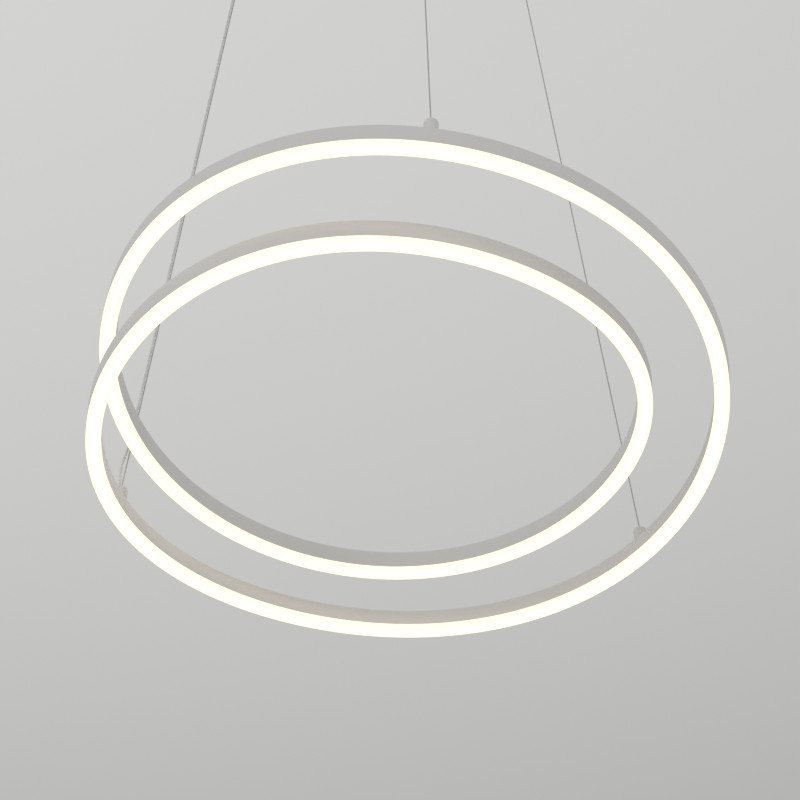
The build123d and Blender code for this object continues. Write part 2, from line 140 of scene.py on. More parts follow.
def maths(tree, operation, *values, clamp=False):
    # each value is a socket or a number
    made = node(tree, "ShaderNodeMath", operation=operation, use_clamp=clamp)
    for socket, value in zip(made.inputs, values):
        if hasattr(value, "is_linked"):
            link(tree, value, socket)
        else:
            socket.default_value = value
    return made.outputs[0]


def buildAir():
    # what is seen brightens upwards and to one side, and the ambient light is even
    air = airSettings
    world = bpy.data.worlds.new("studioAir")
    scene.world = world
    world.use_nodes = True
    tree = world.node_tree
    tree.nodes.clear()
    where = node(tree, "ShaderNodeTexCoord")
    split = node(tree, "ShaderNodeSeparateXYZ")
    link(tree, where.outputs["Generated"], split.inputs[0])
    rise = maths(tree, "SUBTRACT", split.outputs["Z"], air["level"])
    slope = maths(tree, "MULTIPLY_ADD", rise, air["bend"], air["slope"])
    lift = maths(tree, "MULTIPLY_ADD", rise, slope, air["middle"])
    tone = maths(tree, "MULTIPLY_ADD", split.outputs["X"], air["sideways"], lift)
    tone = maths(tree, "MINIMUM", maths(tree, "MAXIMUM", tone, air["low"]), air["top"])
    seen = node(tree, "ShaderNodeBackground", "seen")
    seen.inputs["Color"].default_value = (*air["tint"], 1)
    link(tree, tone, seen.inputs["Strength"])
    fill = node(tree, "ShaderNodeBackground", "ambient")
    fill.inputs["Color"].default_value = (*air["ambientTint"], 1)
    fill.inputs["Strength"].default_value = air["ambient"]
    path = node(tree, "ShaderNodeLightPath")
    show = maths(tree, "MAXIMUM", path.outputs["Is Camera Ray"], path.outputs["Is Glossy Ray"])
    show = maths(tree, "MAXIMUM", show, path.outputs["Is Transmission Ray"])
    mix = node(tree, "ShaderNodeMixShader")
    link(tree, show, mix.inputs[0])
    link(tree, fill.outputs[0], mix.inputs[1])
    link(tree, seen.outputs[0], mix.inputs[2])
    link(tree, mix.outputs[0], node(tree, "ShaderNodeOutputWorld").inputs["Surface"])


buildAir()

floorSettings = {"height": -2.75, "size": 240.0, "tone": (0.8, 0.797, 0.785)}


def buildFloor():
    half = floorSettings["size"] / 2
    mesh = bpy.data.meshes.new("studioFloor")
    corners = [(-half, -half), (half, -half), (half, half), (-half, half)]
    mesh.from_pydata([(x, y, floorSettings["height"]) for x, y in corners], [], [(0, 1, 2, 3)])
    floor = bpy.data.objects.new("studioFloor", mesh)
    scene.collection.objects.link(floor)
    material = bpy.data.materials.new("floorPaint")
    material.use_nodes = True
    tree = material.node_tree
    tree.nodes.clear()
    paint = node(tree, "ShaderNodeBsdfDiffuse")
    paint.inputs["Color"].default_value = (*floorSettings["tone"], 1)
    clear = node(tree, "ShaderNodeBsdfTransparent")
    side = node(tree, "ShaderNodeNewGeometry")
    mix = node(tree, "ShaderNodeMixShader")
    link(tree, side.outputs["Backfacing"], mix.inputs[0])  # open to a camera below it
    link(tree, paint.outputs[0], mix.inputs[1])
    link(tree, clear.outputs[0], mix.inputs[2])
    link(tree, mix.outputs[0], node(tree, "ShaderNodeOutputMaterial").inputs["Surface"])
    mesh.materials.append(material)


buildFloor()
print("camera, air, lamps and floor set")

# finishes: two shared effects, then one material for each finish
grainSettings = {"fineDetail": 3.0, "broadDetail": 4.0, "broadHeight": 0.25, "depth": 0.05}
dustSettings = {"faceUp": 0.6, "detail": 6.0, "tone": (0.62, 0.6, 0.57)}


def socketsOf(tree, inputs, outputs):
    for name, kind, value in inputs:
        made = tree.interface.new_socket(name, in_out="INPUT", socket_type=kind)
        if value is not None:
            made.default_value = value
    for name, kind in outputs:
        tree.interface.new_socket(name, in_out="OUTPUT", socket_type=kind)
    return node(tree, "NodeGroupInput"), node(tree, "NodeGroupOutput")


def buildGrain():
    # fine coat texture over broad, faint patches
    tree = bpy.data.node_groups.new("coatGrain", "ShaderNodeTree")
    given, result = socketsOf(
        tree,
        [("Fine Scale", "NodeSocketFloat", 900.0), ("Broad Scale", "NodeSocketFloat", 9.0),
         ("Stretch", "NodeSocketVector", (1.0, 1.0, 1.0))],
        [("Patches", "NodeSocketFloat"), ("Speck", "NodeSocketFloat"), ("Height", "NodeSocketFloat")],
    )
    where = node(tree, "ShaderNodeTexCoord")
    stretch = node(tree, "ShaderNodeVectorMath", operation="MULTIPLY")
    link(tree, where.outputs["Object"], stretch.inputs[0])
    link(tree, given.outputs["Stretch"], stretch.inputs[1])
    fine = node(tree, "ShaderNodeTexNoise")
    fine.inputs["Detail"].default_value = grainSettings["fineDetail"]
    link(tree, stretch.outputs[0], fine.inputs["Vector"])
    link(tree, given.outputs["Fine Scale"], fine.inputs["Scale"])
    broad = node(tree, "ShaderNodeTexNoise")
    broad.inputs["Detail"].default_value = grainSettings["broadDetail"]
    link(tree, where.outputs["Object"], broad.inputs["Vector"])
    link(tree, given.outputs["Broad Scale"], broad.inputs["Scale"])
    link(tree, broad.outputs["Fac"], result.inputs["Patches"])
    link(tree, fine.outputs["Fac"], result.inputs["Speck"])
    share = grainSettings["broadHeight"]
    height = maths(tree, "MULTIPLY_ADD", broad.outputs["Fac"], share, fine.outputs["Fac"])
    link(tree, height, result.inputs["Height"])
    return tree


def buildDust():
    # a thin veil of dust where a face looks up
    tree = bpy.data.node_groups.new("shelfDust", "ShaderNodeTree")
    given, result = socketsOf(
        tree, [("Amount", "NodeSocketFloat", 0.25), ("Scale", "NodeSocketFloat", 60.0)],
        [("Veil", "NodeSocketFloat")],
    )
    facing = node(tree, "ShaderNodeNewGeometry")
    split = node(tree, "ShaderNodeSeparateXYZ")
    link(tree, facing.outputs["Normal"], split.inputs[0])
    up = node(tree, "ShaderNodeMapRange")
    up.inputs["From Min"].default_value = dustSettings["faceUp"]
    link(tree, split.outputs["Z"], up.inputs["Value"])
    where = node(tree, "ShaderNodeTexCoord")
    flecks = node(tree, "ShaderNodeTexNoise")
    flecks.inputs["Detail"].default_value = dustSettings["detail"]
    link(tree, where.outputs["Object"], flecks.inputs["Vector"])
    link(tree, given.outputs["Scale"], flecks.inputs["Scale"])
    settled = maths(tree, "MULTIPLY", up.outputs[0], flecks.outputs["Fac"])
    link(tree, maths(tree, "MULTIPLY", settled, given.outputs["Amount"]), result.inputs["Veil"])
    return tree


coatGrain = buildGrain()
shelfDust = buildDust()


def placeGroup(tree, group, **values):
    made = node(tree, "ShaderNodeGroup")
    made.node_tree = group
    for name, value in values.items():
        made.inputs[name].default_value = value
    return made


def tonesOf(tree, factor, low, high, start=0.3, end=0.7):
    ramp = node(tree, "ShaderNodeValToRGB")
    ramp.color_ramp.elements[0].position = start
    ramp.color_ramp.elements[1].position = end
    ramp.color_ramp.elements[0].color = (*low, 1)
    ramp.color_ramp.elements[1].color = (*high, 1)
    link(tree, factor, ramp.inputs[0])
    return ramp.outputs["Color"]


def spanOf(tree, factor, low, high, start=0.25, end=0.75):
    span = node(tree, "ShaderNodeMapRange")
    span.inputs["From Min"].default_value = start
    span.inputs["From Max"].default_value = end
    span.inputs["To Min"].default_value = low
    span.inputs["To Max"].default_value = high
    link(tree, factor, span.inputs["Value"])
    return span.outputs[0]


def roughen(tree, shader, height, strength, depth):
    bump = node(tree, "ShaderNodeBump")
    bump.inputs["Strength"].default_value = strength
    bump.inputs["Distance"].default_value = depth * mm
    link(tree, height, bump.inputs["Height"])
    link(tree, bump.outputs[0], shader.inputs["Normal"])


def buildFinish(name, f):
    # f: tones, roughness range, grain scales, bump and metal; some add stretch, dust or a clear body
    material = bpy.data.materials.new(name)
    material.use_nodes = True
    tree = material.node_tree
    shader = tree.nodes["Principled BSDF"]
    scales = {"Fine Scale": f["fine"], "Broad Scale": f["broad"], "Stretch": f.get("stretch", (1, 1, 1))}
    grain = placeGroup(tree, coatGrain, **scales)
    colour = tonesOf(tree, grain.outputs["Patches"], f["low"], f["high"])
    rough = spanOf(tree, grain.outputs["Speck"], *f["rough"])
    if "dust" in f:
        dust = placeGroup(tree, shelfDust, Amount=f["dust"])
        veil = node(tree, "ShaderNodeMix", data_type="RGBA")
        veil.inputs["B"].default_value = (*dustSettings["tone"], 1)
        link(tree, dust.outputs["Veil"], veil.inputs["Factor"])
        link(tree, colour, veil.inputs["A"])
        colour = veil.outputs["Result"]
        rough = maths(tree, "ADD", rough, dust.outputs["Veil"], clamp=True)
    link(tree, colour, shader.inputs["Base Color"])
    link(tree, rough, shader.inputs["Roughness"])
    shader.inputs["Metallic"].default_value = f["metal"]
    roughen(tree, shader, grain.outputs["Height"], f["bump"], grainSettings["depth"])
    if "transmission" in f:
        shader.inputs["Transmission Weight"].default_value = f["transmission"]
        shader.inputs["IOR"].default_value = f["bending"]
    material.diffuse_color = (*f["high"], 1)
    return material


finishes = {
    "bandCoat": {
        "low": (0.55, 0.542, 0.536), "high": (0.58, 0.572, 0.566), "rough": (0.36, 0.42),
        "fine": 500.0, "broad": 5.0, "bump": 0.03, "metal": 0.3, "dust": 0.15,
    },
    "millAluminium": {
        "low": (0.7, 0.7, 0.71), "high": (0.8, 0.8, 0.81), "rough": (0.28, 0.45),
        "fine": 500.0, "broad": 20.0, "bump": 0.2, "metal": 1.0, "stretch": (1, 1, 12),
    },
    "ropeSteel": {
        "low": (0.4, 0.395, 0.39), "high": (0.5, 0.49, 0.48), "rough": (0.4, 0.55),
        "fine": 2500.0, "broad": 60.0, "bump": 0.1, "metal": 0.85,
    },
    "zincPlate": {
        "low": (0.6, 0.615, 0.635), "high": (0.67, 0.68, 0.7), "rough": (0.3, 0.42),
        "fine": 700.0, "broad": 45.0, "bump": 0.08, "metal": 1.0, "dust": 0.12,
    },
    "nickelPlate": {
        "low": (0.6, 0.585, 0.55), "high": (0.7, 0.685, 0.65), "rough": (0.2, 0.32),
        "fine": 900.0, "broad": 90.0, "bump": 0.18, "metal": 1.0, "stretch": (0.08, 0.08, 3.0),
    },
    "clearVinyl": {
        "low": (0.68, 0.68, 0.67), "high": (0.72, 0.72, 0.71), "rough": (0.35, 0.45),
        "fine": 800.0, "broad": 40.0, "bump": 0.02, "metal": 0.0, "transmission": 0.35, "bending": 1.2,
    },
    "tinnedStrand": {
        "low": (0.74, 0.72, 0.69), "high": (0.8, 0.78, 0.75), "rough": (0.4, 0.5),
        "fine": 3000.0, "broad": 80.0, "bump": 0.1, "metal": 0.5,
    },
    "brownJacket": {
        "low": (0.13, 0.06, 0.035), "high": (0.17, 0.08, 0.045), "rough": (0.35, 0.5),
        "fine": 1500.0, "broad": 60.0, "bump": 0.1, "metal": 0.0,
    },
    "blueJacket": {
        "low": (0.04, 0.11, 0.3), "high": (0.06, 0.15, 0.38), "rough": (0.35, 0.5),
        "fine": 1500.0, "broad": 60.0, "bump": 0.1, "metal": 0.0,
    },
    "caseMoulding": {
        "low": (0.78, 0.78, 0.765), "high": (0.84, 0.84, 0.825), "rough": (0.45, 0.6),
        "fine": 1100.0, "broad": 14.0, "bump": 0.35, "metal": 0.0, "dust": 0.3,
    },
    "blockNylon": {
        "low": (0.74, 0.735, 0.7), "high": (0.81, 0.805, 0.77), "rough": (0.4, 0.52),
        "fine": 900.0, "broad": 50.0, "bump": 0.2, "metal": 0.0,
    },
    "glandNylon": {
        "low": (0.4, 0.4, 0.395), "high": (0.47, 0.47, 0.46), "rough": (0.42, 0.55),
        "fine": 1000.0, "broad": 60.0, "bump": 0.25, "metal": 0.0,
    },
    "boardMask": {
        "low": (0.82, 0.82, 0.8), "high": (0.88, 0.88, 0.86), "rough": (0.4, 0.55),
        "fine": 600.0, "broad": 90.0, "bump": 0.15, "metal": 0.0,
    },
}
paints = {name: buildFinish(name, settings) for name, settings in finishes.items()}

lensGlow = {
    "middle": (1.0, 0.87, 0.655), "edge": (1.0, 0.83, 0.55), "edgeFrom": 0.35, "edgeFull": 1.0, "drift": 0.06,
    "strength": 1.15, "low": (0.28, 0.28, 0.275), "high": (0.32, 0.32, 0.315), "rough": (0.35, 0.5),
    "fine": 700.0, "broad": 12.0, "bump": 0.08, "depth": 0.03,
}
chipGlow = {"tone": (1.0, 0.85, 0.5), "strength": 1.0}


def buildOpal():
    # lit from inside: white in the middle, warmer at the rounded edges
    g = lensGlow
    material = bpy.data.materials.new("opalGlow")
    material.cycles.emission_sampling = "NONE"
    material.use_nodes = True
    tree = material.node_tree
    shader = tree.nodes["Principled BSDF"]
    across = node(tree, "ShaderNodeAttribute", attribute_name="across")
    spread = maths(tree, "ABSOLUTE", across.outputs["Fac"])
    grain = placeGroup(tree, coatGrain, **{"Fine Scale": g["fine"], "Broad Scale": g["broad"]})
    centred = maths(tree, "SUBTRACT", spread, g["drift"] / 2)
    drift = maths(tree, "MULTIPLY_ADD", grain.outputs["Patches"], g["drift"], centred)
    colour = tonesOf(tree, drift, g["middle"], g["edge"], g["edgeFrom"], g["edgeFull"])
    link(tree, colour, shader.inputs["Emission Color"])
    shader.inputs["Emission Strength"].default_value = g["strength"]
    link(tree, tonesOf(tree, grain.outputs["Patches"], g["low"], g["high"]), shader.inputs["Base Color"])
    link(tree, spanOf(tree, grain.outputs["Speck"], *g["rough"]), shader.inputs["Roughness"])
    roughen(tree, shader, grain.outputs["Height"], g["bump"], g["depth"])
    return material


def buildPhosphor():
    material = paints["boardMask"].copy()
    material.name = "chipPhosphor"
    material.cycles.emission_sampling = "NONE"
    shader = material.node_tree.nodes["Principled BSDF"]
    shader.inputs["Emission Color"].default_value = (*chipGlow["tone"], 1)
    shader.inputs["Emission Strength"].default_value = chipGlow["strength"]
    return material


paints["opalGlow"] = buildOpal()
paints["chipPhosphor"] = buildPhosphor()
print("finishes made:", len(paints))


# small helpers for pieces
def setPiece(name, mesh, finish, body, replaced=()):
    piece = bpy.data.objects.new(name, mesh)
    scene.collection.objects.link(piece)
    mesh.materials.clear()
    mesh.materials.append(paints[finish])
    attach(piece, body)
    if replaced:
        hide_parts(*replaced)
    return piece


def drawnMesh(holder):
    # the evaluated shape of an object, as a plain mesh
    bpy.context.view_layer.update()
    return bpy.data.meshes.new_from_object(holder.evaluated_get(bpy.context.evaluated_depsgraph_get()))


def meshFrom(bm, name, sharp=35.0):
    # edges past the sharp angle stay crisp
    bmesh.ops.remove_doubles(bm, verts=bm.verts, dist=tiny)
    bmesh.ops.recalc_face_normals(bm, faces=bm.faces)
    for face in bm.faces:
        face.smooth = True
    for edge in bm.edges:
        edge.smooth = not edge.is_manifold or edge.calc_face_angle(0.0) < math.radians(sharp)
    mesh = bpy.data.meshes.new(name)
    bm.to_mesh(mesh)
    bm.free()
    return mesh


def addTurned(bm, outline, place, steps, up=zUp):
    # outline: (radius, height) in mm, closed, turned about up
    aim = Vector(up).to_track_quat("Z", "Y")
    rings = []
    for radius, height in outline:
        ring = []
        for k in range(1 if radius < tiny else steps):
            a = 2 * math.pi * k / steps
            spot = Vector((radius * math.cos(a), radius * math.sin(a), height))
            ring.append(bm.verts.new((Vector(place) + aim @ spot) * mm))
        rings.append(ring)
    for low, high in zip(rings, rings[1:] + rings[:1]):
        for k in range(steps):
            n = (k + 1) % steps
            corners = [low[k % len(low)], low[n % len(low)], high[n % len(high)], high[k % len(high)]]
            unique = list(dict.fromkeys(corners))
            if len(unique) > 2:
                bm.faces.new(unique)


def turnedMesh(name, outline, place, steps):
    bm = bmesh.new()
    addTurned(bm, outline, place, steps)
    return meshFrom(bm, name)


def cutHoles(mesh, holes, steps=24):
    # holes: (place, up, radius, low, high)
    bm = bmesh.new()
    for place, up, radius, low, high in holes:
        addTurned(bm, [(0, low), (radius, low), (radius, high), (0, high)], place, steps, up)
    tool = bpy.data.objects.new("holeTool", meshFrom(bm, "holeTool"))
    host = bpy.data.objects.new("holeHost", mesh)
    for thing in (tool, host):
        scene.collection.objects.link(thing)
    cut = host.modifiers.new("holes", "BOOLEAN")
    cut.operation, cut.solver, cut.object = "DIFFERENCE", "EXACT", tool
    result = drawnMesh(host)
    for thing in (tool, host):
        bpy.data.objects.remove(thing)
    return result


def roundCorner(centre, radius, first, last, steps=4):
    turns = [math.radians(first + (last - first) * k / steps) for k in range(steps + 1)]
    return [(centre[0] + radius * math.cos(a), centre[1] + radius * math.sin(a)) for a in turns]


# wires and cable come before the other pieces
grips = []
cableSide = 2  # the cable hangs beside this wire
ropeSettings = {
    "diameter": 1.2, "strands": 6, "lay": 12.0, "sides": 18, "groove": 0.16, "resolution": 470, "sharp": 80.0,
    "gripCircle": 176.0, "top": -51.0, "ballTop": 14.08, "lift": 500.0,
}
cableSettings = {
    "diameter": 2.2, "sides": 20, "resolution": 40, "sharp": 60.0,
    "core": 0.7, "coreOffset": 0.45, "coreSides": 8,
    "glandSpacing": 22.0, "glandMouth": -42.0, "intoMouth": 2.0, "underMouth": 18.0,
    "beside": 2.1, "besideShares": (0.88, 0.77, 0.10, 0.055),  # shares of the wire, from its foot
    "holeOffset": 3.9, "capHeight": 16.0, "plumb": 28.0, "overCap": 6.0, "webUnder": 1.7,
}


def splineLine(name, route, resolution):
    curve = bpy.data.curves.new(name, "CURVE")
    curve.dimensions = "3D"
    curve.resolution_u = resolution
    spline = curve.splines.new("NURBS")
    spline.points.add(len(route) - 1)
    for point, place in zip(spline.points, route):
        point.co = (*(Vector(place) * mm), 1)
    spline.order_u = 3
    spline.use_endpoint_u = True
    holder = bpy.data.objects.new(name, curve)
    scene.collection.objects.link(holder)
    points = [v.co.copy() for v in drawnMesh(holder).vertices]
    bpy.data.objects.remove(holder)
    return points


def addTube(bm, points, radiusAt, sides, lay=0.0, offset=0.0, phase=0.0):
    # radiusAt(angle) gives the section, lay twists it along the line
    rings, travelled = [], 0.0
    for number, point in enumerate(points):
        before, after = points[max(number - 1, 0)], points[min(number + 1, len(points) - 1)]
        along = (after - before).normalized()
        side = along.cross(Vector((0, 1, 0))).normalized()
        up = side.cross(along)
        if number:
            travelled += (point - points[number - 1]).length
        twist = phase + (2 * math.pi * travelled / lay if lay else 0.0)
        middle = point + (side * math.cos(twist) + up * math.sin(twist)) * offset
        ring = []
        for k in range(sides):
            a = 2 * math.pi * k / sides
            r = radiusAt(a)
            ring.append(bm.verts.new(middle + (side * math.cos(a + twist) + up * math.sin(a + twist)) * r))
        rings.append(ring)
    for low, high in zip(rings, rings[1:]):
        for k in range(sides):
            n = (k + 1) % sides
            bm.faces.new((low[k], low[n], high[n], high[k]))
    bm.faces.new(rings[0])
    bm.faces.new(rings[-1])


def ropeSection(angle):
    r = ropeSettings["diameter"] / 2 * mm
    return r * (1 - ropeSettings["groove"] * (1 - abs(math.cos(ropeSettings["strands"] * angle / 2))))


def squashWithLift(piece):
    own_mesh(piece)


def hangWire(number, top, low):
    w = ropeSettings
    points = splineLine(f"wireLine{number}", [top, (top + low) / 2, low], w["resolution"])
    bm = bmesh.new()
    addTube(bm, points, ropeSection, w["sides"], w["lay"] * mm)
    mesh = meshFrom(bm, f"steelWire{number}", w["sharp"])
    name, replaced = f"steelWire_{number}", [f"wire_{number}"]
    wire = setPiece(name, mesh, "ropeSteel", "ceiling_rose", replaced)
    squashWithLift(wire)


for number, seat in enumerate(seats):
    azimuth, reach = math.atan2(seat.y, seat.x), ropeSettings["gripCircle"]
    grip = Vector((reach * math.cos(azimuth), reach * math.sin(azimuth), 0))
    grips.append(grip)
    hangWire(number + 1, grip + zUp * ropeSettings["top"], seat + zUp * ropeSettings["ballTop"])

cableSeat, cableGrip = seats[cableSide], grips[cableSide]
outward = Vector((cableSeat.x, cableSeat.y, 0)).normalized()
gripSide = outward.cross(-zUp)
gland = cableGrip + gripSide * cableSettings["glandSpacing"]
cableHole = cableSeat + gripSide * cableSettings["holeOffset"]


def besideWire(share):
    top = cableGrip + zUp * ropeSettings["top"]
    foot = cableSeat + zUp * cableSettings["capHeight"]
    return foot + (top - foot) * share + Vector((-cableSettings["beside"], 0, 0))


def hangCable():
    c = cableSettings
    mouth = gland + zUp * c["glandMouth"]
    route = [mouth + zUp * c["intoMouth"], mouth - zUp * c["underMouth"]]
    route += [besideWire(share) for share in c["besideShares"]]
    route += [cableHole + zUp * (c["capHeight"] + over) for over in (c["plumb"], c["overCap"])]
    route.append(cableHole - zUp * c["webUnder"])
    points = splineLine("cableLine", route, c["resolution"])
    bm = bmesh.new()
    addTube(bm, points, lambda a: c["diameter"] / 2 * mm, c["sides"])
    mesh = meshFrom(bm, "clearCable", c["sharp"])
    cable = setPiece("clearCable", mesh, "clearVinyl", "ceiling_rose", ["power_cable"])
    bm = bmesh.new()
    for phase in (0.0, math.pi):
        addTube(bm, points, lambda a: c["core"] / 2 * mm, c["coreSides"], 0.0, c["coreOffset"] * mm, phase)
    mesh = meshFrom(bm, "cableCores", c["sharp"])
    cores = setPiece("cableCores", mesh, "tinnedStrand", "ceiling_rose")
    squashWithLift(cable)
    squashWithLift(cores)


hangCable()

# leads inside the canopy
leadSettings = {
    "diameter": 2.2, "sides": 16, "resolution": 24, "sharp": 60.0, "level": -10.4,
    "blockEnd": 45.5, "blockY": -46.0, "poleY": 8.8, "driverEnd": 70.3, "driverY": 46.0, "inletY": 14.0,
    "middleX": 97.0, "apart": 5.0, "sweep": 20.0, "firstTurn": 26.0, "run": 9.0,
    "hold": 2.3, "riseEnd": 8.6, "bendOut": 16.0, "outletRun": 40.0,
}


def layLead(name, route, finish, replaced):
    points = splineLine(name, route, leadSettings["resolution"])
    bm = bmesh.new()
    addTube(bm, points, lambda a: leadSettings["diameter"] / 2 * mm, leadSettings["sides"])
    mesh = meshFrom(bm, name, leadSettings["sharp"])
    lead = setPiece(name, mesh, finish, "ceiling_rose", [replaced])


def mainsRoute(pole):
    c = leadSettings
    y, inlet = c["blockY"] + pole * c["poleY"], c["driverY"] - pole * c["inletY"]
    far = c["middleX"] - pole * c["apart"]
    flat = [
        (c["blockEnd"], y), (far - c["firstTurn"], y), (far, y + c["sweep"]), (far, inlet - c["sweep"]),
        (c["driverEnd"] + c["run"], inlet), (c["driverEnd"], inlet),
    ]
    return [Vector((x, y, c["level"])) for x, y in flat]


def driverRoute():
    c = leadSettings
    outlet = Vector((-c["driverEnd"], c["driverY"] - c["inletY"], c["level"]))
    over = gland + zUp * c["level"]
    towards = Vector((outlet.x - gland.x, outlet.y - gland.y, 0)).normalized()
    return [
        gland + zUp * (cableSettings["glandMouth"] + c["hold"]), over - zUp * c["riseEnd"],
        over + towards * c["bendOut"], outlet - Vector((c["outletRun"], 0, 0)), outlet,
    ]


layLead("blueLead", mainsRoute(-1), "blueJacket", "mains_leads")
layLead("brownLead", mainsRoute(1), "brownJacket", "mains_leads")
layLead("lampLead", driverRoute(), "clearVinyl", "driver_lead")
print("wires, cable and leads hung")

# the band and its lens: one section swept along each half turn
bandSection = {
    "points": [(-5.5, 7), (-5.5, 0), (-7, 0), (-7, 19), (7, 19), (7, 0), (5.5, 0), (5.5, 7)],
    "rounds": [0, 0, 0.3, 0.6, 0.6, 0.3, 0, 0],
}
lensSection = {
    "points": [(-4, -4.7), (-4, 4.5), (-5.3, 4.5), (-5.3, -0.1), (-7, -0.1), (-7, -6.3),
               (7, -6.3), (7, -0.1), (5.3, -0.1), (5.3, 4.5), (4, 4.5), (4, -4.7)],
    "rounds": [0.4, 0, 0, 0, 0.2, 2.0, 2.0, 0.2, 0, 0, 0, 0.4],
}
sweepSettings = {"cornerSteps": 6, "sharp": 32.0}


def polyCurve(name, points, rounds=None, tilts=None, closed=False):
    curve = bpy.data.curves.new(name, "CURVE")
    curve.dimensions = "3D"
    spline = curve.splines.new("POLY")
    spline.points.add(len(points) - 1)
    for number, place in enumerate(points):
        spline.points[number].co = (*(Vector((*place, 0)[:3]) * mm), 1)
        spline.points[number].radius = rounds[number] * mm if rounds else 1.0
        spline.points[number].tilt = tilts[number] if tilts else 0.0
    spline.use_cyclic_u = closed
    holder = bpy.data.objects.new(name, curve)
    scene.collection.objects.link(holder)
    return holder


def finishTree(tree, geometry, given, result):
    real = node(tree, "GeometryNodeRealizeInstances")
    link(tree, geometry, real.inputs[0])
    paint = node(tree, "GeometryNodeSetMaterial")
    link(tree, real.outputs[0], paint.inputs["Geometry"])
    link(tree, given.outputs["Finish"], paint.inputs["Material"])
    link(tree, paint.outputs[0], result.inputs[0])


def softenEdges(tree, geometry, sharp):
    # smooth faces, with edges past the sharp angle left crisp
    smooth = node(tree, "GeometryNodeSetShadeSmooth", domain="FACE")
    link(tree, geometry, smooth.inputs[0])
    angle = node(tree, "GeometryNodeInputMeshEdgeAngle")
    crisp = node(tree, "FunctionNodeCompare", operation="GREATER_THAN")
    link(tree, angle.outputs["Unsigned Angle"], crisp.inputs[0])
    crisp.inputs[1].default_value = math.radians(sharp)
    hard = node(tree, "GeometryNodeSetShadeSmooth", domain="EDGE")
    link(tree, smooth.outputs[0], hard.inputs[0])
    link(tree, crisp.outputs[0], hard.inputs["Selection"])
    hard.inputs["Shade Smooth"].default_value = False
    return hard.outputs[0]


def buildSweep():
    # "across" runs from -1 to 1 over the section, for the lens's edges
    tree = bpy.data.node_groups.new("loopSweep", "GeometryNodeTree")
    given, result = socketsOf(
        tree,
        [("Path", "NodeSocketObject", None), ("Section", "NodeSocketObject", None),
         ("Corner Steps", "NodeSocketInt", 5), ("Half Width", "NodeSocketFloat", 0.007),
         ("Finish", "NodeSocketMaterial", None)],
        [("Geometry", "NodeSocketGeometry")],
    )
    path = node(tree, "GeometryNodeObjectInfo")
    link(tree, given.outputs["Path"], path.inputs["Object"])
    level = node(tree, "GeometryNodeSetCurveNormal", mode="Z_UP")
    link(tree, path.outputs["Geometry"], level.inputs["Curve"])
    section = node(tree, "GeometryNodeObjectInfo")
    link(tree, given.outputs["Section"], section.inputs["Object"])
    rounding = node(tree, "GeometryNodeFilletCurve", mode="POLY")
    link(tree, section.outputs["Geometry"], rounding.inputs["Curve"])
    link(tree, given.outputs["Corner Steps"], rounding.inputs["Count"])
    link(tree, node(tree, "GeometryNodeInputRadius").outputs[0], rounding.inputs["Radius"])
    split = node(tree, "ShaderNodeSeparateXYZ")
    link(tree, node(tree, "GeometryNodeInputPosition").outputs[0], split.inputs[0])
    share = maths(tree, "DIVIDE", split.outputs["X"], given.outputs["Half Width"])
    mark = node(tree, "GeometryNodeStoreNamedAttribute", data_type="FLOAT", domain="POINT")
    mark.inputs["Name"].default_value = "across"
    link(tree, rounding.outputs[0], mark.inputs["Geometry"])
    link(tree, share, mark.inputs["Value"])
    swept = node(tree, "GeometryNodeCurveToMesh")
    link(tree, level.outputs[0], swept.inputs["Curve"])
    link(tree, mark.outputs[0], swept.inputs["Profile Curve"])
    swept.inputs["Fill Caps"].default_value = True
    finishTree(tree, softenEdges(tree, swept.outputs[0], sweepSettings["sharp"]), given, result)
    return tree


def runTree(name, tree, values):
    host = bpy.data.objects.new(name, bpy.data.meshes.new(name))
    scene.collection.objects.link(host)
    modifier = host.modifiers.new(name, "NODES")
    modifier.node_group = tree
    for item in tree.interface.items_tree:
        if item.in_out == "INPUT" and item.name in values:
            modifier[item.identifier] = values[item.name]
    mesh = drawnMesh(host)
    bpy.data.objects.remove(host)
    mesh.name = name
    return mesh


def outwardFaces(mesh):
    bm = bmesh.new()
    bm.from_mesh(mesh)
    bmesh.ops.recalc_face_normals(bm, faces=bm.faces)
    bm.to_mesh(mesh)
    bm.free()


loopSweep = buildSweep()
sections = {}
for label, shape in (("band", bandSection), ("lens", lensSection)):
    flipped = [(x, -y) for x, y in shape["points"]]  # the sweep's section hangs head down
    sections[label] = polyCurve(f"{label}Section", flipped, shape["rounds"], closed=True)

screwHoles = {"radius": 1.6, "fromSeam": 12.0, "floor": 12.5, "above": 1.0}


def screwSpots(first):
    # one set screw near each end of a half turn
    spots = []
    top = loopShape["bandHeight"] + screwHoles["above"]
    for seam, way in ((first, 1), (first + 180, -1)):
        degree = (loopPoint(seam + 0.5) - loopPoint(seam - 0.5)).length  # of the loop, in mm
        place, _, up = loopFrame(seam + way * screwHoles["fromSeam"] / degree)
        spots.append((place, up, screwHoles["radius"], screwHoles["floor"], top))
    return spots


